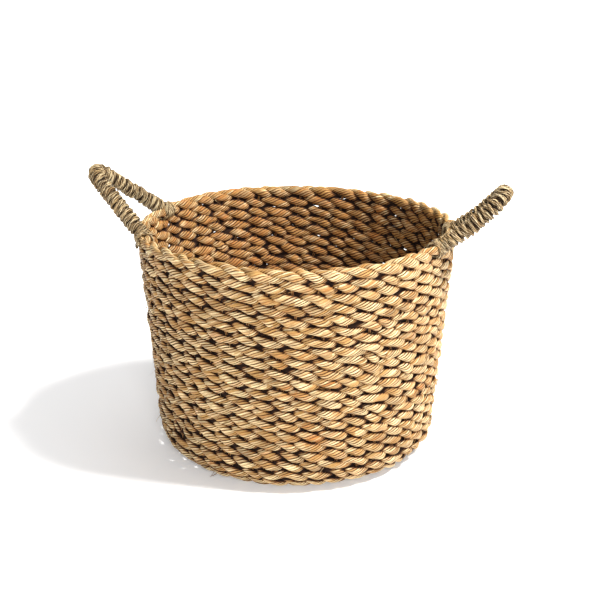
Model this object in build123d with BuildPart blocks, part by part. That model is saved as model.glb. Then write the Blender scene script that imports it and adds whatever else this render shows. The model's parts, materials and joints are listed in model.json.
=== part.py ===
"""Round seagrass storage basket, twined in courses over upright stakes, with two wrapped rope handles.

Frame: origin on the floor at the centre of the base, +Z up, a handle near -X and one near +X. Millimetres.
"""
from build123d import *
import math
import os

# Body of the basket
rim_outer_radius = 155.0  # outside of the top course
foot_outer_radius = 135.6  # where the wall's outer line would reach the floor
basket_height = 232.0  # floor to the top of the rim course, without the handles
corner_outer_radius = 29.0  # rounding between wall and base, outside
course_diameter = 10.6  # thickness of one twined course
course_pitch = 10.9  # from one course to the next, along the wall and the base
base_flat = 0.3  # how far the base courses are pressed flat on the floor
wall_courses = 18  # straight wall courses below the rim course
corner_courses = 3  # courses on the rounding
base_courses = 8  # rings of the flat base
centre_gap = 0.1  # between the innermost ring and the knotted centre

# Stakes, the stiff warp that every course is twined around
stake_count = 40
stake_diameter = 3.2
stake_end_above_rim_centre = 2.0
short_stake_start = 56.0  # radius where every second stake is let in as the base widens

# Handles: a rope core, bound with thin cord, lashed to the rim at both ends
core_diameter = 11.0
wrap_diameter = 16.0
lashing_radius = 10.2
running_gap = 0.3  # between a fixed lashing and the foot of the leg that tilts over it
lashing_floor = 4.5  # the lashing stops this far below the rim course's centre
handles = {
    # azimuth of the middle, half chord along the rim, loop height, radius of the loop's top, tilt above the floor
    "left_handle": dict(azimuth=186.0, half_chord=52.0, loop_height=80.6, top_radius=18.0, tilt=42.0),
    "right_handle": dict(azimuth=-6.0, half_chord=29.0, loop_height=78.5, top_radius=20.0, tilt=41.0),
}

# Worked out from the sizes above: the meridian that the course centres follow
course_radius = course_diameter / 2
rim_radius = rim_outer_radius - course_radius
rim_z = basket_height - course_radius
foot_radius = foot_outer_radius - course_radius
base_z = course_radius - base_flat
wall_lean = math.atan2(rim_radius - foot_radius, rim_z)
bend_radius = corner_outer_radius - course_radius
bend_z = base_z + bend_radius
bend_x = foot_radius + bend_z * math.tan(wall_lean) - bend_radius / math.cos(wall_lean)
wall_foot_x = bend_x + bend_radius * math.cos(wall_lean)
wall_foot_z = bend_z - bend_radius * math.sin(wall_lean)
wall_length = math.hypot(rim_radius - wall_foot_x, rim_z - wall_foot_z)
bend_length = bend_radius * (math.pi / 2 - wall_lean)


def station(run):
    """Radius and height of the meridian at a distance from the rim course, down the wall and inwards."""
    if run <= wall_length:
        return rim_radius - run * math.sin(wall_lean), rim_z - run * math.cos(wall_lean)
    if run <= wall_length + bend_length:
        turn = wall_lean + (run - wall_length) / bend_radius
        return bend_x + bend_radius * math.cos(turn), bend_z - bend_radius * math.sin(turn)
    return bend_x - (run - wall_length - bend_length), base_z


def finish(piece, name):
    """Label a finished piece and write its STEP file."""
    piece.part.label = name
    export_step(piece.part, f"parts/{name}.step")


def stake(start_radius):
    """One stake: along the base from start_radius, round the corner and up the wall."""
    with BuildPart() as rod:
        with BuildLine(Plane.XZ) as run:
            Line((start_radius, base_z), (bend_x, base_z))
            JernArc((bend_x, base_z), (1, 0), bend_radius, 90 - math.degrees(wall_lean))
            Line((wall_foot_x, wall_foot_z), station(-stake_end_above_rim_centre))
        with BuildSketch(Plane(origin=run.line @ 0, z_dir=run.line % 0)):
            Circle(stake_diameter / 2)
        sweep()
    return rod.part


def course(run):
    """One twined course: a ring on the meridian, flat on the floor. Its strands grip the stakes inside it."""
    radius, height = station(run)
    with BuildPart() as ring:
        with BuildSketch(Plane.XZ):
            with Locations((radius, height)):
                Circle(course_radius)
        revolve(axis=Axis.Z)
        if height < course_radius:
            split(bisect_by=Plane.XY, keep=Keep.TOP)
    return ring


def chord_plane(azimuth, half_chord):
    """Upright plane through a handle's two roots: its x runs along the chord between them."""
    outward = Vector(1, 0, 0).rotate(Axis.Z, azimuth)
    middle = outward * math.sqrt(rim_radius**2 - half_chord**2) + Vector(0, 0, rim_z)
    return Plane(origin=middle, x_dir=outward.rotate(Axis.Z, 90), z_dir=outward)


def loop_plane(azimuth, half_chord, tilt):
    """Plane of a handle: its x runs along the chord between the two roots, its y out and up the loop."""
    chord = chord_plane(azimuth, half_chord)
    out = chord.z_dir * math.cos(math.radians(tilt)) + Vector(0, 0, math.sin(math.radians(tilt)))
    return Plane(origin=chord.origin, x_dir=chord.x_dir, z_dir=chord.x_dir.cross(out))


def handle_tube(shape, outer, inner=0.0):
    """A rope or its wrapping along a handle's loop. Its feet are cut parallel to the chord, clear of the rim."""
    plane = loop_plane(shape["azimuth"], shape["half_chord"], shape["tilt"])
    chord, height, top = shape["half_chord"], shape["loop_height"], shape["top_radius"]
    lean = math.atan2(chord, height - top) - math.asin(top / math.hypot(chord, height - top))
    shoulder = (top * math.cos(lean), height - top + top * math.sin(lean))
    foot_line = plane.from_local_coords(Vector(0, lashing_radius + running_gap, 0))
    with BuildPart() as tube:
        with BuildLine(plane) as loop:
            Line((chord, 0), shoulder)
            ThreePointArc(shoulder, (0, height), (-shoulder[0], shoulder[1]))
            Line((-shoulder[0], shoulder[1]), (-chord, 0))
        with BuildSketch(Plane(origin=loop.line @ 0, z_dir=loop.line % 0)):
            Circle(outer / 2)
            if inner:
                Circle(inner / 2, mode=Mode.SUBTRACT)
        sweep()
        split(bisect_by=Plane(origin=foot_line, z_dir=plane.y_dir), keep=Keep.TOP)
    return tube


def lashing(azimuth, half_chord, end, rim):
    """Knot of cord that binds one end of a handle to the rim course, open below for the next course."""
    root = chord_plane(azimuth, half_chord).from_local_coords(Vector(end * half_chord, 0, 0))
    with BuildPart() as knot:
        with Locations(root):
            Sphere(lashing_radius)
        split(bisect_by=Plane.XY.offset(rim_z - lashing_floor), keep=Keep.TOP)
        add(rim, mode=Mode.SUBTRACT)
    return knot


os.makedirs("parts", exist_ok=True)

# The innermost base ring fixes where the centre ends and the long stakes begin
last_course = wall_courses + corner_courses + base_courses
centre_radius = station(last_course * course_pitch)[0] - course_radius - centre_gap

# Stakes: long ones that reach the centre, with a short one between each two
long_stake = stake(centre_radius + centre_gap)
short_stake = stake(short_stake_start)
with BuildPart() as stakes:
    with PolarLocations(0, stake_count // 2):
        add(long_stake)
    with PolarLocations(0, stake_count // 2, start_angle=360 / stake_count):
        add(short_stake)
finish(stakes, "stakes")

# Rim, wall, corner and base courses, counted from the rim down and inwards
rim_course = course(0)
finish(rim_course, "rim_course")
number = 0
for group, count in (("wall", wall_courses), ("corner", corner_courses), ("base", base_courses)):
    for index in range(count):
        number += 1
        finish(course(number * course_pitch), f"{group}_course_{index + 1:02d}")

# Knotted centre where the long stakes cross
with BuildPart() as base_centre:
    with BuildSketch():
        Circle(centre_radius)
    extrude(amount=base_z + course_radius)
    fillet(base_centre.edges().group_by(Axis.Z)[-1], radius=course_radius / 2)
finish(base_centre, "base_centre")

for name, shape in handles.items():
    finish(handle_tube(shape, core_diameter), f"{name}_core")
    finish(handle_tube(shape, wrap_diameter, core_diameter), f"{name}_wrap")
    front_end = 1 if shape["azimuth"] > 90 else -1
    for end, place in ((front_end, "front"), (-front_end, "back")):
        knot = lashing(shape["azimuth"], shape["half_chord"], end, rim_course.part)
        finish(knot, f"{name}_{place}_lashing")
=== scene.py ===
"""Looks of the twined seagrass basket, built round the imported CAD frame. Metres, in the row frame."""
import json
import math

import bpy
import numpy as np
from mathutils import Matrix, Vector


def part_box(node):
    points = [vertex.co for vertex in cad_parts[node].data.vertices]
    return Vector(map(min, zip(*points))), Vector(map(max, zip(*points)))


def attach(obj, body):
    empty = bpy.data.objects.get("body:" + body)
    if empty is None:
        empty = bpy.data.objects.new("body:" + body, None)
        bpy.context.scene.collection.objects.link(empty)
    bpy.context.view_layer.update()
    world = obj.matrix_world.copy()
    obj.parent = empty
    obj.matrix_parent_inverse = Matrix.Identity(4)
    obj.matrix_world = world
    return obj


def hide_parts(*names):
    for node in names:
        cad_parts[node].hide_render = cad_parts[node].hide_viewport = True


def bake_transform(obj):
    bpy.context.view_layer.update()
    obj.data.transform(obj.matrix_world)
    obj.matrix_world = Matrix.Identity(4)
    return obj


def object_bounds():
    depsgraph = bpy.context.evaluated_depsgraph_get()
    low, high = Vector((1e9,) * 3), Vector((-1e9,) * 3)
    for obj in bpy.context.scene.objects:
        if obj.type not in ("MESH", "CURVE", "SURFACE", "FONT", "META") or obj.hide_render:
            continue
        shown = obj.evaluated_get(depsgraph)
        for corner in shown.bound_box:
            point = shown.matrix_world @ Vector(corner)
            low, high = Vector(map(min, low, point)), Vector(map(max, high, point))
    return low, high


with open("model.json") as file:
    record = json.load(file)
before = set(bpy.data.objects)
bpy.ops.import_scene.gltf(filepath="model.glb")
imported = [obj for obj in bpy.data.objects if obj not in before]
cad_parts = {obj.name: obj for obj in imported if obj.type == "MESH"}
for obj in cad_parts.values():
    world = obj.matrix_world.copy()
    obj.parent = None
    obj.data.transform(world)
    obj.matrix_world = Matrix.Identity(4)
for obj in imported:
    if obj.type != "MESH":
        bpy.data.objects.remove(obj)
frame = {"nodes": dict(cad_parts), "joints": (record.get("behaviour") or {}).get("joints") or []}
cad_low, cad_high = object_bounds()
MM = 0.001
TAU = 2 * math.pi
rng = np.random.default_rng(11)

# ---------------------------------------------------------------- camera, floor and light
CAMERA_AZIMUTH = math.radians(11.0)  # the handles' axis is turned this much from the picture plane
CAMERA_PITCH = math.radians(19.44)
CAMERA_REACH = 1.2515  # level distance from the basket's axis
CAMERA_HEIGHT = 0.5927
CAMERA_SIDESTEP = 0.0037
LENS = 78.0
SENSOR_WIDTH = 36.0
SURROUND_LIGHT = 0.23  # light from the surround; the camera itself sees plain white
FLOOR_SIZE = 60
FLOOR_COLOUR = (0.9, 0.9, 0.91, 1)
FLOOR_GLOW = {"From Min": 0.13, "From Max": 1.1, "To Min": 0.20, "To Max": 0.90}  # by distance from the axis
WHITE = (1.0, 1.0, 1.0)
BASKET_MIDDLE = (0, 0, 0.12)
LIGHTS = (  # name, place, size, watts, colour and target
    ("key", (1.16, -0.20, 1.88), 0.40, 104, (1.0, 0.98, 0.94), BASKET_MIDDLE),
    ("front", (0.5, -2.0, 1.0), 0.7, 31, WHITE, BASKET_MIDDLE),
    ("top", (-0.1, 0.3, 1.9), 0.9, 4, WHITE, BASKET_MIDDLE),
    ("backdrop", (-0.4, 3.0, 2.0), 2.2, 18, WHITE, (-0.4, 3.0, 0)),
)


def make_camera():
    """A long lens from a little above the rim, with the basket slightly left of the middle."""
    data = bpy.data.cameras.new("camera")
    data.lens = LENS
    data.sensor_width = SENSOR_WIDTH
    camera = bpy.data.objects.new("camera", data)
    bpy.context.scene.collection.objects.link(camera)
    right = Vector((math.cos(CAMERA_AZIMUTH), math.sin(CAMERA_AZIMUTH), 0))
    back = Vector((math.sin(CAMERA_AZIMUTH), -math.cos(CAMERA_AZIMUTH), 0))
    camera.location = back * CAMERA_REACH + right * CAMERA_SIDESTEP + Vector((0, 0, CAMERA_HEIGHT))
    camera.rotation_euler = (math.pi / 2 - CAMERA_PITCH, 0, CAMERA_AZIMUTH)
    bpy.context.scene.camera = camera


def add_area_light(name, place, size, watts, colour, target):
    """A soft square light that looks at its target."""
    data = bpy.data.lights.new(name, "AREA")
    data.shape = "SQUARE"
    data.size = size
    data.energy = watts
    data.color = colour
    light = bpy.data.objects.new(name, data)
    bpy.context.scene.collection.objects.link(light)
    light.location = place
    aim = Vector(target) - Vector(place)
    light.rotation_euler = aim.to_track_quat("-Z", "Y").to_euler()


def make_surround():
    """Plain white to the camera, and a weaker white light to everything else."""
    world = bpy.data.worlds.new("surround")
    bpy.context.scene.world = world
    world.use_nodes = True
    shade = world.node_tree.nodes["Background"]
    shade.inputs["Color"].default_value = (*WHITE, 1)
    seen = world.node_tree.nodes.new("ShaderNodeLightPath")
    strength = world.node_tree.nodes.new("ShaderNodeMapRange")
    world.node_tree.links.new(seen.outputs["Is Camera Ray"], strength.inputs["Value"])
    strength.inputs["To Min"].default_value = SURROUND_LIGHT
    strength.inputs["To Max"].default_value = 1.0
    world.node_tree.links.new(strength.outputs["Result"], shade.inputs["Strength"])


def make_floor():
    """A pale floor with a faint glow of its own, painted light that grows with the distance from the basket.
    """
    bpy.ops.mesh.primitive_plane_add(size=FLOOR_SIZE, location=(0, 0, cad_low[2]))
    floor = bpy.context.object
    floor.name = "floor"
    material = bpy.data.materials.new("floor")
    material.use_nodes = True
    nodes, links = material.node_tree.nodes, material.node_tree.links
    shader = nodes["Principled BSDF"]
    shader.inputs["Base Color"].default_value = FLOOR_COLOUR
    shader.inputs["Emission Color"].default_value = (*WHITE, 1)
    shader.inputs["Roughness"].default_value = 0.9
    shader.inputs["Specular IOR Level"].default_value = 0.1
    distance = nodes.new("ShaderNodeVectorMath")
    distance.operation = "LENGTH"
    links.new(nodes.new("ShaderNodeTexCoord").outputs["Object"], distance.inputs[0])
    glow = nodes.new("ShaderNodeMapRange")
    links.new(distance.outputs["Value"], glow.inputs["Value"])
    for socket, value in FLOOR_GLOW.items():
        glow.inputs[socket].default_value = value
    links.new(glow.outputs["Result"], shader.inputs["Emission Strength"])
    floor.data.materials.append(material)


bpy.context.scene.view_settings.view_transform = "Standard"
make_camera()
make_surround()
make_floor()
for light_settings in LIGHTS:
    add_area_light(*light_settings)

# ---------------------------------------------------------------- materials
HAIR_SHADE = 0.45  # colour of the thin dark streaks, as a share of the tan
HAIR_AMOUNT = 0.8
BUMP_STRENGTH = 0.8
BUMP_DISTANCE = 0.5 * MM
SPECULAR_LEVEL = 0.3


def seagrass(name, straw, tan, orange, grey, edge_shade, crevice_shade):
    """Twisted dry grass: streaks along the fibres, patches of tan, orange and grey, painted shade in the
    crevices.

    The meshes carry: fibre (length along the strand, then the fibre's place round it), tone (paleness,
    orange, grey) and the painted shade (0 on the crown of a strand, 1 in a crevice).
    """
    material = bpy.data.materials.new(name)
    material.use_nodes = True
    tree = material.node_tree
    nodes, links = tree.nodes, tree.links
    shader = nodes["Principled BSDF"]

    def attribute(label):
        """One of the mesh's own attributes."""
        node = nodes.new("ShaderNodeAttribute")
        node.attribute_name = label
        return node

    def streaks(scale, stretch, detail):
        """Noise that is drawn out along the fibres by the given stretch."""
        warp = nodes.new("ShaderNodeVectorMath")
        warp.operation = "MULTIPLY"
        links.new(attribute("fibre").outputs["Vector"], warp.inputs[0])
        warp.inputs[1].default_value = (stretch, 1.0, 1.0)
        noise = nodes.new("ShaderNodeTexNoise")
        noise.inputs["Scale"].default_value = scale
        noise.inputs["Detail"].default_value = detail
        noise.inputs["Roughness"].default_value = 0.65
        links.new(warp.outputs[0], noise.inputs["Vector"])
        return noise.outputs["Fac"]

    def math_node(kind, first, second):
        """The sum, product or the like of two values, each a number or a socket."""
        node = nodes.new("ShaderNodeMath")
        node.operation = kind
        for socket, value in zip(node.inputs, (first, second)):
            if isinstance(value, float):
                socket.default_value = value
            else:
                links.new(value, socket)
        return node.outputs[0]

    def blend_in(base, colour, amount):
        """A colour mixed into the base by the given amount."""
        node = nodes.new("ShaderNodeMix")
        node.data_type = "RGBA"
        node.clamp_factor = True
        links.new(amount, node.inputs["Factor"])
        for socket, value in (("A", base), ("B", colour)):
            target = [s for s in node.inputs if s.name == socket and s.type == "RGBA"][0]
            if isinstance(value, tuple):
                target.default_value = (*value, 1)
            else:
                links.new(value, target)
        return [s for s in node.outputs if s.type == "RGBA"][0]

    def contrast(value, low, high):
        """The range from low to high, stretched to 0 to 1."""
        node = nodes.new("ShaderNodeMapRange")
        links.new(value, node.inputs["Value"])
        node.inputs["From Min"].default_value = low
        node.inputs["From Max"].default_value = high
        return node.outputs["Result"]

    split_tone = nodes.new("ShaderNodeSeparateXYZ")
    links.new(attribute("tone").outputs["Vector"], split_tone.inputs[0])
    pale, rusty, dull = split_tone.outputs
    broad = contrast(streaks(scale=1.3, stretch=9.0, detail=2.0), low=0.34, high=0.66)
    fine = contrast(streaks(scale=4.0, stretch=9.0, detail=3.0), low=0.36, high=0.66)
    hair = contrast(streaks(scale=13.0, stretch=6.0, detail=2.0), low=0.32, high=0.68)
    streaky = math_node("ADD", pale, math_node("MULTIPLY", broad, 0.35))
    streaky = math_node("ADD", streaky, math_node("MULTIPLY", fine, 0.45))
    colour = blend_in(tan, straw, contrast(streaky, low=0.30, high=1.25))
    colour = blend_in(colour, orange, math_node("MULTIPLY", rusty, contrast(fine, low=0.1, high=0.8)))
    colour = blend_in(colour, grey, math_node("MULTIPLY", dull, contrast(broad, low=0.1, high=0.8)))
    thin_lines = math_node("MULTIPLY", contrast(hair, low=0.62, high=0.2), HAIR_AMOUNT)
    colour = blend_in(colour, tuple(HAIR_SHADE * c for c in tan), thin_lines)
    # Painted shade: an orange-brown half shade, then near black deep in the crevices.
    painted_shade = attribute("painted_shade").outputs["Fac"]
    colour = blend_in(colour, edge_shade, contrast(painted_shade, low=0.0, high=0.6))
    colour = blend_in(colour, crevice_shade, contrast(painted_shade, low=0.35, high=0.9))
    links.new(colour, shader.inputs["Base Color"])
    worn = contrast(math_node("ADD", fine, hair), low=3.2, high=-1.4)
    links.new(math_node("MAXIMUM", worn, painted_shade), shader.inputs["Roughness"])
    shader.inputs["Specular IOR Level"].default_value = SPECULAR_LEVEL
    bump = nodes.new("ShaderNodeBump")
    bump.inputs["Strength"].default_value = BUMP_STRENGTH
    bump.inputs["Distance"].default_value = BUMP_DISTANCE
    links.new(math_node("ADD", hair, fine), bump.inputs["Height"])
    links.new(bump.outputs["Normal"], shader.inputs["Normal"])
    return material


wall_grass = seagrass(
    "wall_grass",
    straw=(0.98, 0.82, 0.47),
    tan=(0.54, 0.32, 0.10),
    orange=(0.56, 0.19, 0.03),
    grey=(0.30, 0.25, 0.14),
    # the last two colours are painted shade: an orange-brown half shade, and near black in the crevices
    edge_shade=(0.34, 0.13, 0.03),
    crevice_shade=(0.018, 0.006, 0.002),
)
cord_grass = seagrass(
    "cord_grass",
    straw=(0.96, 0.81, 0.51),
    tan=(0.50, 0.34, 0.15),
    orange=(0.50, 0.24, 0.07),
    grey=(0.33, 0.28, 0.17),
    # the last two colours are painted shade: an orange-brown half shade, and near black in the crevices
    edge_shade=(0.25, 0.14, 0.05),
    crevice_shade=(0.018, 0.009, 0.004),
)

# ---------------------------------------------------------------- mesh tools


def ring_noise(top, size):
    """A smooth random function of an angle, with harmonics 1 to top and the given rough size."""
    orders = np.arange(1, top + 1)
    sizes = rng.normal(size=top) * size / math.sqrt(top)
    starts = rng.uniform(0, TAU, top)
    return lambda angle: (sizes * np.sin(np.multiply.outer(angle, orders) + starts)).sum(axis=-1)


def run_along(path):
    """Distance from the start of a path to each of its points."""
    return np.concatenate([[0], np.cumsum(np.linalg.norm(np.diff(path, axis=0), axis=1))])


VALLEY_SHADE = 0.88  # darkening between two blades
VALLEY_RANGE = (0.4, 1.6)  # the depths of the valleys differ this much
BLADE_RUN = 0.055  # usual length of one blade before the next takes its place
BLADE_SPREAD = [0.60, 0.34, 0.32]  # rough differences of paleness, orange and grey between blades
EDGE_FROM, EDGE_FADE = 0.74, 0.22  # where the painted shade along a strand's upper and lower edges begins, and its fade
FIBRE_UNIT = 0.06  # metres of strand to one step of the streaks
FIBRE_DRAW = 9.0  # by which the streaks are drawn out once more
FLOOR_GAP = 0.05 * MM  # no point comes closer to the floor than this


def blade_tones(run, blades, share):
    """Differences of tone between the blades of a strand, each holding until its blade ends."""
    starts = rng.uniform(0, 1, blades)
    spell = np.floor(run[:, None] / BLADE_RUN + starts).astype(int)
    drawn = rng.normal(size=(spell.max() + 1, blades, 3)) * BLADE_SPREAD
    return np.repeat(drawn[spell, np.arange(blades)], share, axis=1)


class Batch:
    """Collects tubes of twisted fibres that become one mesh object."""

    def __init__(self):
        self.points, self.quads, self.fibre, self.tone, self.painted_shade = [], [], [], [], []
        self.count = 0

    def tube(self, path, side, up, half_side, half_up, columns, turns, ridge, tone, painted_shade, closed=False,
             outline_shade=(0.0, 0.0)):
        """A tube round path, made of flat blades of grass that turn with its columns of vertices.

        side and up are the unit axes of the section, half_side and half_up its half widths. The painted
        crevice shade is a number or a function of the points; the upper and lower edges get painted shade by
        two amounts.
        """
        steps = len(path)
        run = run_along(path)
        share = 3 if columns % 3 == 0 else 2  # columns of one blade
        shift = int(round(turns * columns / share)) * share if closed else 0
        total = TAU * (shift / columns if closed else turns)
        turn = total * np.arange(steps) / (steps if closed else steps - 1)
        place = TAU * np.arange(columns) / columns
        angle = turn[:, None] + place[None, :]
        valley_depth = np.repeat(rng.uniform(*VALLEY_RANGE, columns // share), share)
        valley = (np.arange(columns) % share == 0) * valley_depth
        lift = 1 + ridge * (0.5 - 1.5 * valley)
        wave_side = (half_side[:, None] * np.cos(angle) * lift)[..., None]
        wave_up = (half_up[:, None] * np.sin(angle) * lift)[..., None]
        points = path[:, None] + wave_side * side[:, None] + wave_up * up[:, None]
        points[..., 2] = np.maximum(points[..., 2], cad_low[2] + FLOOR_GAP)
        ring = np.arange(steps * columns).reshape(steps, columns)
        following = np.roll(ring, -1, axis=1)
        quads = np.stack([ring[:-1], following[:-1], following[1:], ring[1:]], -1).reshape(-1, 4)
        if closed:
            joined = np.roll(ring[0], -shift % columns)
            quads = np.vstack([quads, np.stack([ring[-1], following[-1], np.roll(joined, -1), joined], -1)])
        start = rng.uniform(0, 100)
        along = np.repeat((start + run / FIBRE_UNIT)[:, None], columns, axis=1)
        zeros = np.zeros_like(along)
        fibre = np.stack([along / FIBRE_DRAW, np.cos(place) + zeros + start, np.sin(place) + zeros], -1)
        self.points.append(points.reshape(-1, 3))
        self.quads.append(quads + self.count)
        self.fibre.append(fibre.reshape(-1, 3))
        self.tone.append((tone[:, None] + blade_tones(run, columns // share, share)).reshape(-1, 3))
        # Painted shade: the crevices, the valleys between blades and the upper and lower edges.
        shade = painted_shade(points) if callable(painted_shade) else np.full(points.shape[:2], painted_shade)
        edge_shade = np.clip((np.abs(np.sin(angle)) - EDGE_FROM) / EDGE_FADE, 0, 1)
        edge_shade = edge_shade * np.where(np.sin(angle) > 0, *outline_shade)
        self.painted_shade.append(np.clip(shade + VALLEY_SHADE * valley + edge_shade, 0, 1).reshape(-1))
        if not closed:
            self.caps(steps, columns)
        self.count += steps * columns

    def caps(self, steps, columns):
        """Closes both ends of the last tube with quads across the section."""
        for first, flip in ((0, True), ((steps - 1) * columns, False)):
            half = columns // 2
            for i in range(half - 1):
                quad = [first + i, first + i + 1, first + columns - 2 - i, first + columns - 1 - i]
                self.quads.append(np.array([quad[::-1] if flip else quad]) + self.count)

    def object(self, name, body, material, slot, replaced=()):
        """Makes the mesh object, with its attributes, and puts it on its body, if it has one alone."""
        points = np.concatenate(self.points)
        quads = np.concatenate(self.quads)
        mesh = bpy.data.meshes.new(name)
        mesh.vertices.add(len(points))
        mesh.vertices.foreach_set("co", points.astype(np.float32).ravel())
        mesh.loops.add(quads.size)
        mesh.loops.foreach_set("vertex_index", quads.astype(np.int32).ravel())
        mesh.polygons.add(len(quads))
        mesh.polygons.foreach_set("loop_start", np.arange(0, quads.size, 4, dtype=np.int32))
        mesh.polygons.foreach_set("use_smooth", np.ones(len(quads), dtype=bool))
        mesh.update(calc_edges=True)
        mesh.validate()
        for label, kind, data, field in (("fibre", "FLOAT_VECTOR", self.fibre, "vector"),
                                         ("tone", "FLOAT_VECTOR", self.tone, "vector"),
                                         ("painted_shade", "FLOAT", self.painted_shade, "value")):
            layer = mesh.attributes.new(label, kind, "POINT")
            layer.data.foreach_set(field, np.concatenate(data).astype(np.float32).ravel())
        mesh.materials.append(material)
        piece = bpy.data.objects.new(name, mesh)
        bpy.context.scene.collection.objects.link(piece)
        if replaced:
            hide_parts(*replaced)
        if body:
            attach(piece, body)
        return piece


def unit(vectors):
    """Each vector at unit length."""
    return vectors / np.linalg.norm(vectors, axis=-1, keepdims=True)


def tangents(path):
    """Unit direction of a path at each of its points."""
    return unit(np.gradient(path, axis=0))


# ---------------------------------------------------------------- wall and base courses
STAKES = 40
STRAND_OUT = 2.9 * MM  # how far a strand swings out and in round the stakes
STRAND_RISE = 2.5 * MM  # and how far up and down
HALF_OUT, HALF_OUT_SWING = 2.85, 0.45  # millimetres: a strand's half thickness, and its change along a lobe
HALF_UP, HALF_UP_SWING, HALF_UP_INNER = 4.10, 0.65, 0.40  # millimetres: its half height, likewise, and inside
THICKNESS = 1.06
PRESSED = 0.86  # share of the thickness that is left where the base stands on the floor
WIDE_RING = 0.07  # radius above which a course has a lobe for every stake
SMALL_LOBE = 0.0115  # length of a lobe on the narrower courses
FEWEST_LOBES = 8
COLUMNS = 30
STEP = 1.5 * MM
SMALL_STEP = 0.8  # share of it on the narrower courses
RIDGE = 0.09  # relief of the blades
FIBRE_SLOPE = 155.0  # turning of the fibres, radians per metre of strand
OUTLINE_SHADE = 0.75  # painted shade along the upper and lower edges of a strand
OUTER_CREVICE = (3.1, 1.5)  # millimetres: the depth where the painted shade ends on the outside, and its fade
INNER_CREVICE = (3.5, 1.7)  # millimetres: the same on the inside
INNER_SHADE = 0.20  # further painted shade inside, at the back
RIM_FADE = 2.5 * MM  # height over which the top of the rim loses its shade
DRIFT = 1.35 * MM  # each course's lobes sit this much further round than those above
LEAST_RADIUS = 0.03  # the angle of this drift grows no further inside this radius
PALENESS, RUST, GREYNESS = 0.54, -0.20, -0.12  # usual tone of the outside, before the noise
INSIDE_DULLING_AND_SHADE, RIGHT_PAINTED_SHADE, BACK_PAINTED_SHADE = 0.42, 0.10, 0.55  # paleness lost inside, partly the grass's own tone and partly painted shade, and more as painted shade towards the right and at the back
INSIDE_RUST, LEFT_RUST_AND_LIGHT = 0.25, 0.95  # orange gained inside, and more towards the left, partly the grass's own colour and partly painted warm light
RIGHT_GREY_AND_SHADE = 0.45  # grey gained inside towards the right, partly the grass's own colour and partly painted shade

course_names = ["rim_course"]
for group in ("wall", "corner", "base"):
    course_names += sorted(n for n in frame["nodes"] if n.startswith(group + "_course"))
tube_radius = (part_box("wall_course_01")[1][2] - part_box("wall_course_01")[0][2]) / 2


def course_station(name):
    """Radius and height of the middle of a course."""
    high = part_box(name)[1]
    return np.array([high[0] - tube_radius, high[2] - tube_radius])


stations = np.array([course_station(n) for n in course_names])
ups = unit(np.vstack([stations[0] - stations[1], stations[:-2] - stations[2:], stations[-2] - stations[-1]]))
outs = np.stack([ups[:, 1], -ups[:, 0]], -1)


def course_drift(index):
    """Angle by which the lobes of a course are turned, adding up from the rim down."""
    return sum(DRIFT / max(stations[i][0], LEAST_RADIUS) for i in range(index))


warp_out = ring_noise(top=4, size=0.9 * MM)
warp_rise = ring_noise(top=3, size=0.8 * MM)
OVAL = 4.2 * MM  # the wall stands out this much further on its two sides
FIRST_BASE = next(i for i, n in enumerate(course_names) if n.startswith("base"))
OVAL_FADE = 3  # courses over which it ends above the base


def flare(index, theta):
    """How far a course stands out of its true circle at an angle."""
    side = OVAL * np.cos(theta - CAMERA_AZIMUTH) ** 2 * np.clip((FIRST_BASE - index) / OVAL_FADE, 0, 1)
    return side + warp_out(theta) * np.clip(1 - index / len(course_names), 0, 1) * (index < FIRST_BASE)


def lobes_of(radius):
    """Lobes round a course: one for every stake, or an even number that fits a narrow ring."""
    if radius > WIDE_RING:
        return STAKES
    return max(int(round(TAU * radius / SMALL_LOBE)) // 2 * 2, FEWEST_LOBES)


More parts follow.
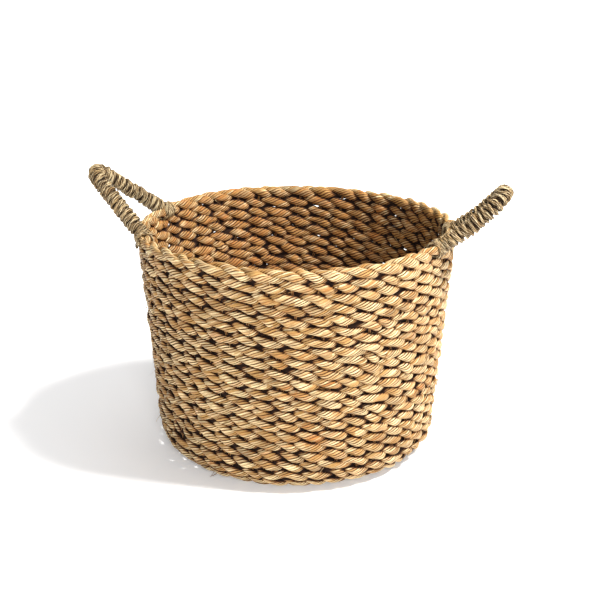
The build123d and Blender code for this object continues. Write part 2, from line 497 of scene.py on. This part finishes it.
def make_course(index):
    """Two strands that twist round each other between the stakes, right round the basket."""
    name = course_names[index]
    radius, height = stations[index]
    out, up = outs[index], ups[index]
    lobes = lobes_of(radius)
    steps = int(TAU * radius / STEP / (1 if radius > WIDE_RING else SMALL_STEP))
    seam = math.pi / 2 + rng.uniform(-0.6, 0.6)
    theta = seam + TAU * np.arange(steps) / steps
    wander_out = ring_noise(top=22, size=0.7 * MM)
    wander_up = ring_noise(top=22, size=0.6 * MM)
    wander_phase = ring_noise(top=22, size=0.52)
    mood = ring_noise(top=24, size=0.22)
    rust = ring_noise(top=20, size=0.5)
    dull = ring_noise(top=22, size=0.5)
    batch = Batch()
    offset = rng.normal(0, 0.25) if radius > WIDE_RING else 0.0
    on_floor = index >= FIRST_BASE - 1
    for strand in range(2):
        phase = lobes / 2 * (theta - course_drift(index)) + strand * math.pi + wander_phase(theta) + offset
        thick = THICKNESS + ring_noise(top=60, size=0.12)(theta)
        outside, rise = np.cos(phase), -np.sin(phase)
        half_out = (HALF_OUT - HALF_OUT_SWING * np.cos(2 * phase)) * MM * thick
        inner = np.clip(-outside, 0, 1)
        half_up = (HALF_UP + HALF_UP_SWING * np.cos(2 * phase) + HALF_UP_INNER * inner) * MM * thick
        across = STRAND_OUT * outside + wander_out(theta)
        upward = STRAND_RISE * rise + wander_up(theta)
        lift = warp_rise(theta) * max(1 - index / FIRST_BASE, 0)
        r = radius + out[0] * across + up[0] * upward + flare(index, theta)
        z = height + out[1] * across + up[1] * upward + lift
        if on_floor:
            half_out = half_out * PRESSED
            z = np.maximum(z, cad_low[2] + half_out)
        round_x, round_y = np.cos(theta), np.sin(theta)
        path = np.stack([r * round_x, r * round_y, z], -1)
        side = np.stack([out[0] * round_x, out[0] * round_y, 0 * theta + out[1]], -1)
        top = np.stack([up[0] * round_x, up[0] * round_y, 0 * theta + up[1]], -1)
        left = 0.5 - 0.5 * round_x
        own = ring_noise(top=30, size=0.30)
        back = np.clip(round_y, 0, 1)
        # Inside, the tones are partly the grass's own and partly painted light: painted shade dulls the right
        # and the back and greys the right, painted warm light reddens the left.
        dulling_and_shade = INSIDE_DULLING_AND_SHADE + RIGHT_PAINTED_SHADE * (1 - left) + BACK_PAINTED_SHADE * back
        pale = PALENESS + mood(theta) + own(theta) - inner * dulling_and_shade
        rusting_and_light = INSIDE_RUST + LEFT_RUST_AND_LIGHT * left
        rusty = np.clip(RUST + rust(theta) + inner * rusting_and_light + 0.3 * own(theta + 1), 0, 0.95)
        greyish = np.clip(GREYNESS + dull(theta) + RIGHT_GREY_AND_SHADE * inner * (1 - left), 0, 0.85)
        tone = np.stack([pale, rusty, greyish], -1)

        def crevice_shade(points, middle=radius + flare(index, theta), z0=height):
            """Painted shade, darker towards the middle of the wall's thickness."""
            level = np.hypot(points[..., 0], points[..., 1]) - middle[:, None]
            depth = (level * out[0] + (points[..., 2] - z0) * out[1]) / MM
            outside_shade = (OUTER_CREVICE[0] - depth) / OUTER_CREVICE[1]
            inside_shade = (INNER_CREVICE[0] + depth) / INNER_CREVICE[1]
            dark = np.clip(np.where(depth > 0, outside_shade, inside_shade), 0, 1)
            dark = dark + INNER_SHADE * back[:, None] * (depth < 0)
            if index == 0:
                dark = dark * np.clip(1 - (points[..., 2] - z0) / RIM_FADE, 0, 1)
            return dark

        outline_shade = (OUTLINE_SHADE if index else 0.0, OUTLINE_SHADE)  # painted edge shade, none along the top of the rim
        batch.tube(path, side, top, half_out, half_up, COLUMNS, turns=FIBRE_SLOPE * radius, ridge=RIDGE,
                   tone=tone, painted_shade=crevice_shade, closed=True, outline_shade=outline_shade)
    slot = "base_weave" if name.startswith("base") else "wall_weave"
    batch.object(f"twined_{name}", "basket", wall_grass, slot, [name])


for number in range(len(course_names)):
    make_course(number)

# ---------------------------------------------------------------- stakes and the middle of the base
STAKE_HALF = 1.6 * MM
SHORT_STAKE_FROM = 0.062  # radius where every second stake begins
CHECK_PITCH = 5.2 * MM
CHECK_SWING = 1.5 * MM  # how far the crossing cords pass over and under
CHECK_HALF = 2.45 * MM
CHECK_FLATNESS = 0.62
CHECK_LINES = 4  # on each side of the middle one
CHECK_STEP = 1.2 * MM


def plain_tone(count, pale, rusty, dull=0.2):
    """An even mix of the tones along a strand."""
    return np.tile([pale, rusty, dull], (count, 1)).astype(float)


def make_stakes():
    """Upright cords inside the courses, leaning with the drift of the lobes."""
    batch = Batch()
    middle = int(np.argmax(stations[:, 0] < SHORT_STAKE_FROM))
    for stake in range(STAKES):
        last = len(stations) if stake % 2 == 0 else middle
        knots = np.arange(last)
        fine = np.linspace(0, last - 1, last * 4)
        radius = np.interp(fine, knots, stations[:last, 0])
        height = np.interp(fine, knots, stations[:last, 1])
        angle = TAU * stake / STAKES + np.interp(fine, knots, [course_drift(i) for i in knots])
        radius = radius + flare(fine, angle)
        path = np.stack([radius * np.cos(angle), radius * np.sin(angle), height], -1)
        ahead = tangents(path)
        side = unit(np.stack([-np.sin(angle), np.cos(angle), 0 * angle], -1))
        up = np.cross(ahead, side)
        half = np.full(len(path), STAKE_HALF)
        tone = plain_tone(len(path), pale=0.15, rusty=0.8)
        # An even painted shade on the stakes.
        batch.tube(path, side, up, half, half, columns=8, turns=12, ridge=0.08, tone=tone, painted_shade=0.25)
    batch.object("stake_cords", "basket", wall_grass, "stake", ["stakes"])


def make_centre():
    """The long stakes cross in a small check weave in the middle of the base."""
    low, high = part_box("base_centre")
    reach, level = high[0], (low[2] + high[2]) / 2
    batch = Batch()
    for across in (0, 1):
        for line in np.arange(-CHECK_LINES, CHECK_LINES + 1):
            place = line * CHECK_PITCH
            half_run = math.sqrt(max(reach**2 - place**2, 0)) + 1.5 * MM
            along = np.linspace(-half_run, half_run, max(int(2 * half_run / CHECK_STEP), 8))
            z = level - CHECK_SWING * np.cos(math.pi * (along / CHECK_PITCH + line + across))
            flat = np.full(len(along), place)
            path = np.stack([along, flat, z] if across else [flat, along, z], -1)
            side = np.tile([0, 1.0, 0] if across else [1.0, 0, 0], (len(along), 1))
            up = np.cross(tangents(path), side)
            wide = np.full(len(along), CHECK_HALF)
            tone = plain_tone(len(along), pale=0.4 + rng.uniform(-0.2, 0.3), rusty=0.15)
            # A light even painted shade on the crossing cords.
            batch.tube(path, side, up, wide, wide * CHECK_FLATNESS, columns=12, turns=half_run * 60,
                       ridge=0.06, tone=tone, painted_shade=0.12)
    batch.object("crossed_centre", "basket", wall_grass, "base_weave", ["base_centre"])


make_stakes()
make_centre()

# ---------------------------------------------------------------- handles
BENDS = {"left_handle": 18 * MM, "right_handle": 20 * MM}  # radius of the loop's top
SAGS = {"left_handle": 1.0 * MM, "right_handle": 3.0 * MM}  # bow of the loop out of its plane
ROOT_GAP = 4.0 * MM  # the wrapping starts this far up the leg
LOOP_POINTS = 900
LOOP_WOBBLE = 0.8 * MM
WOBBLE_RATE = 55  # radians per metre of loop
WOBBLE_START = 40  # radians per metre of half chord, so that the two handles differ
CORD_STEP = 1.05 * MM
WRAP_PITCH = 5.8 * MM
WRAP_RADIUS = 6.3 * MM  # from the core's axis to the middle of the wrapping cord
PLIES = 3  # thin strands that lie side by side in one flat turn
PLY_SPREAD = 1.32 * MM  # how far the plies lie to the side of the cord's middle
PLY_RISE = 0.95 * MM  # and above and below it
PLY_HALF = 1.26 * MM
PLY_PITCH = 36 * MM
PLY_SLOPE = 40  # turning of a ply's fibres, turns per metre
PLY_SHADE, MOST_SHADE = 0.55, 0.75  # painted shade on the ply that lies underneath
CORE_RADIUS = 5.5 * MM
ROPE_HALF = 4.9 * MM  # the visible rope, just inside the wrapping
LASHING_TURNS = 4
LASHING_SPAN = 7.8 * MM  # along the rim, on each side of the root
LASHING_REACH = 7.2 * MM  # from the rim course's middle to the lashing's cord
LASHING_SQUASH = 0.14  # share by which the next course presses it in from below
KNOT_OUT, KNOT_DROP = 11.0 * MM, 5.0 * MM
KNOT_POINTS = 40
UPWARD = np.array([0, 0, 1.0])
KNOTTED = "left_handle_front_lashing"  # the one with a knot to be seen
joints = {j["child"]: j for j in frame["joints"]}


def loop_of(handle):
    """Middle of the chord between the roots, chord direction, loop direction, loop height and half chord."""
    pivot = np.array(joints[handle]["pos_m"], float)
    chord_way = -np.array(joints[handle]["axis"], float)
    core = frame["nodes"][f"{handle}_core"].data
    points = np.empty(len(core.vertices) * 3)
    core.vertices.foreach_get("co", points)
    arm = points.reshape(-1, 3) - pivot
    arm = arm - np.outer(arm @ chord_way, chord_way)
    reach = np.linalg.norm(arm, axis=1)
    half_chord = abs((lashing_middle(f"{handle}_back_lashing") - pivot) @ chord_way)
    return pivot, chord_way, unit(arm[reach.argmax()]), reach.max() - CORE_RADIUS, half_chord


def lashing_middle(node):
    """Point on the rim course's centre line that a lashing is wound round."""
    low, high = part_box(node)
    level = joints[node.rsplit("_", 2)[0]]["pos_m"][2]
    return np.array([(low[0] + high[0]) / 2, (low[1] + high[1]) / 2, level])


def loop_line(handle):
    """Centre line of a handle, evenly divided, from just above one root to just above the other."""
    pivot, chord_way, out, height, chord = loop_of(handle)
    bend = BENDS[handle]
    lean = math.atan2(chord, height - bend) - math.asin(bend / math.hypot(chord, height - bend))
    shoulder = np.array([bend * math.cos(lean), height - bend + bend * math.sin(lean)])
    foot = np.array([chord - ROOT_GAP * math.sin(lean), ROOT_GAP * math.cos(lean)])
    leg = np.linspace(foot, shoulder, 80)
    swing = np.linspace(lean, math.pi - lean, 90)[1:-1]
    arch = np.stack([bend * np.cos(swing), height - bend + bend * np.sin(swing)], -1)
    flat = np.vstack([leg, arch, leg[::-1] * [-1, 1]])
    run = run_along(flat)
    even = np.linspace(0, run[-1], LOOP_POINTS)
    u, v = np.interp(even, run, flat[:, 0]), np.interp(even, run, flat[:, 1])
    wobble = LOOP_WOBBLE * np.sin(even * WOBBLE_RATE + chord * WOBBLE_START)
    wobble = wobble * np.sin(math.pi * even / run[-1])
    line = pivot + u[:, None] * chord_way + v[:, None] * out
    sag = SAGS[handle] * np.sin(math.pi * np.clip(v / height, 0, 1))
    line = line + (wobble + sag)[:, None] * np.cross(chord_way, out)
    return line, even


def plied_cord(batch, path, outward, tone):
    """Slowly twisting plies that follow a path. outward points away from what the cord is wound on."""
    ahead = tangents(path)
    outward = unit(outward - (outward * ahead).sum(1, keepdims=True) * ahead)
    beside = np.cross(ahead, outward)
    run = run_along(path)
    round_once = run / run[-1] * TAU
    for ply in range(PLIES):
        turn = TAU * (run / PLY_PITCH + ply / PLIES) + ring_noise(top=40, size=0.8)(round_once)
        high = np.cos(turn)
        line = path + PLY_RISE * high[:, None] * outward + PLY_SPREAD * np.sin(turn)[:, None] * beside
        width = PLY_HALF * (1 + ring_noise(top=70, size=0.16)(round_once))

        def shade(points, high=high):
            """Painted shade: the ply that lies underneath is darker."""
            dark = np.clip(0.05 - PLY_SHADE * high, 0, MOST_SHADE)
            return np.repeat(dark[:, None], points.shape[1], axis=1)

        batch.tube(line, outward, beside, width, width * 1.05, columns=8, turns=-run[-1] * PLY_SLOPE,
                   ridge=0.10, tone=tone, painted_shade=shade)


def cord_tone(count):
    """Greyish straw with slow changes along the cord."""
    spot = np.linspace(0, TAU, count)
    pale = 0.72 + ring_noise(top=60, size=0.34)(spot)
    rusty = np.clip(-0.15 + ring_noise(top=50, size=0.4)(spot), 0, 0.7)
    dull = np.clip(0.10 + ring_noise(top=50, size=0.4)(spot), 0, 0.8)
    return np.stack([pale, rusty, dull], -1)


def make_wrap(handle):
    """Flat three-ply cord wound tightly round a rope core."""
    line, run = loop_line(handle)
    pivot, chord_way, out, _, _ = loop_of(handle)
    normal = np.cross(chord_way, out)
    turns = round(run[-1] / WRAP_PITCH)
    winding = int(turns * TAU * WRAP_RADIUS / CORD_STEP)
    spot = np.linspace(0, run[-1], winding)
    centre = np.stack([np.interp(spot, run, line[:, k]) for k in range(3)], -1)
    ahead = tangents(centre)
    in_plane = np.cross(ahead, normal)
    round_once = spot / run[-1] * TAU
    turn = TAU * spot / WRAP_PITCH + ring_noise(top=60, size=0.28)(round_once)
    outward = np.cos(turn)[:, None] * normal + np.sin(turn)[:, None] * in_plane
    reach = WRAP_RADIUS * (1 + ring_noise(top=80, size=0.045)(round_once))
    batch = Batch()
    plied_cord(batch, centre + reach[:, None] * outward, outward, cord_tone(winding))
    piece = batch.object(f"{handle}_cord", None, cord_grass, "handle_cord", [f"{handle}_wrap"])
    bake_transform(piece)
    core = Batch()
    inner = line[::6]
    side = np.tile(normal, (len(inner), 1))
    half = np.full(len(inner), ROPE_HALF)
    tone = plain_tone(len(inner), pale=0.2, rusty=0.2)
    # The rope shows between the turns of the wrapping and gets a strong even painted shade.
    core.tube(inner, side, np.cross(tangents(inner), side), half, half, columns=16, turns=14, ridge=0.05,
              tone=tone, painted_shade=0.75)
    piece = core.object(f"{handle}_rope", None, cord_grass, "handle_core", [f"{handle}_core"])
    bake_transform(piece)


def tie_knot(batch, centre, radial):
    """The tucked-in end of the cord: a small dark curl outside the rim, below the handle, dark by its own
    dull tone and by an even painted shade.
    """
    swing = np.linspace(0, 1.6 * TAU, KNOT_POINTS)
    across = np.cross(radial, UPWARD)
    middle = centre + radial * KNOT_OUT - KNOT_DROP * UPWARD
    curl = np.cos(swing)[:, None] * across + np.sin(swing)[:, None] * UPWARD
    path = middle + curl * np.linspace(2.2, 0.8, KNOT_POINTS)[:, None] * MM
    side = np.tile(radial, (KNOT_POINTS, 1))
    half = np.full(KNOT_POINTS, 1.3 * MM)
    tone = plain_tone(KNOT_POINTS, pale=0.25, rusty=0.2, dull=0.5)
    batch.tube(path, side, unit(np.cross(tangents(path), side)), half, half, columns=8, turns=1.5, ridge=0.1,
               tone=tone, painted_shade=0.35)


def make_lashing(handle, place):
    """Turns of the same cord round the rim course that bind a leg of the handle to it."""
    node = f"{handle}_{place}_lashing"
    centre = lashing_middle(node)
    rim = stations[0][0]
    middle = math.atan2(centre[1], centre[0])
    count = int(LASHING_TURNS * TAU * LASHING_REACH / CORD_STEP)
    share = np.linspace(-1, 1, count)
    angle = middle + share * LASHING_SPAN / rim
    turn = LASHING_TURNS * math.pi * share
    radial = np.stack([np.cos(angle), np.sin(angle), 0 * angle], -1)
    outward = np.cos(turn)[:, None] * radial + np.sin(turn)[:, None] * UPWARD
    squash = np.where(np.sin(turn) < 0, 1 + LASHING_SQUASH * np.sin(turn), 1.0)
    path = (rim + flare(0, angle))[:, None] * radial + (LASHING_REACH * squash)[:, None] * outward
    path[:, 2] += centre[2] + warp_rise(angle)
    batch = Batch()
    plied_cord(batch, path, outward, cord_tone(count))
    if node == KNOTTED:
        tie_knot(batch, centre, radial[count // 2])
    batch.object(f"{node}_cord", "basket", cord_grass, "handle_cord", [node])


for handle in ("left_handle", "right_handle"):
    make_wrap(handle)
    for place in ("front", "back"):
        make_lashing(handle, place)

# ---------------------------------------------------------------- loose ends of grass
LOOSE_ENDS = 760
WHISKER_POINTS = 7
WHISKER_FLATNESS = 0.45
OUTSIDE_SHARE = 0.75  # of the loose ends; the others are inside
THIN_SHARE = 0.5  # of the loose ends; the others are short cut blades
LOOSE_COURSES = 21  # they are left out of the flat base
PROUD_OUT, PROUD_IN = 5.2 * MM, 5.0 * MM  # from the middle of the wall to the roots of the ends


def whisker(batch, root, direction, length, half, sag):
    """One thin, slightly curled end of grass."""
    spot = np.linspace(0, 1, WHISKER_POINTS)[:, None]
    bend = rng.normal(size=3) * sag
    path = root + direction * length * spot + bend * length * spot**2
    ahead = tangents(path)
    side = unit(np.cross(ahead, [0.3, 0.2, 0.93]))
    up = np.cross(ahead, side)
    taper = half * (1.05 - 0.75 * spot[:, 0])
    pale = 0.6 + rng.uniform(-0.3, 0.5)
    tone = plain_tone(WHISKER_POINTS, pale, rusty=rng.uniform(0, 0.5), dull=rng.uniform(0, 0.3))
    batch.tube(path, side, up, taper, taper * WHISKER_FLATNESS, columns=4, turns=0.3, ridge=0.0,
               tone=tone, painted_shade=0.0)


def make_loose_ends():
    """Cut and frayed ends that stand out of the wall, most of them lying almost flat on it."""
    batch = Batch()
    for _ in range(LOOSE_ENDS):
        index = int(rng.integers(0, LOOSE_COURSES))
        radius, height = stations[index]
        angle = rng.uniform(0, TAU)
        face = 1 if rng.uniform() < OUTSIDE_SHARE else -1
        radial = np.array([math.cos(angle), math.sin(angle), 0])
        around = np.array([-math.sin(angle), math.cos(angle), 0])
        proud = PROUD_OUT if face > 0 else PROUD_IN
        root = radial * (radius + float(flare(index, angle)) + face * proud)
        root = root + np.array([0, 0, height + rng.uniform(-4, 4) * MM])
        stands_out = face * radial * abs(rng.normal(0.25, 0.25))
        if rng.uniform() < THIN_SHARE:
            direction = around * rng.normal() + np.array([0, 0, 0.75]) * rng.normal() + stands_out
            whisker(batch, root, unit(direction), rng.uniform(4, 11) * MM, rng.uniform(0.2, 0.4) * MM, 0.25)
        else:
            direction = (around + np.array([0, 0, 0.9])) * rng.choice([-1, 1]) + 0.6 * stands_out
            whisker(batch, root, unit(direction), rng.uniform(4, 9) * MM, rng.uniform(0.6, 1.1) * MM, 0.10)
    batch.object("loose_ends", "basket", wall_grass, "wall_weave")


make_loose_ends()
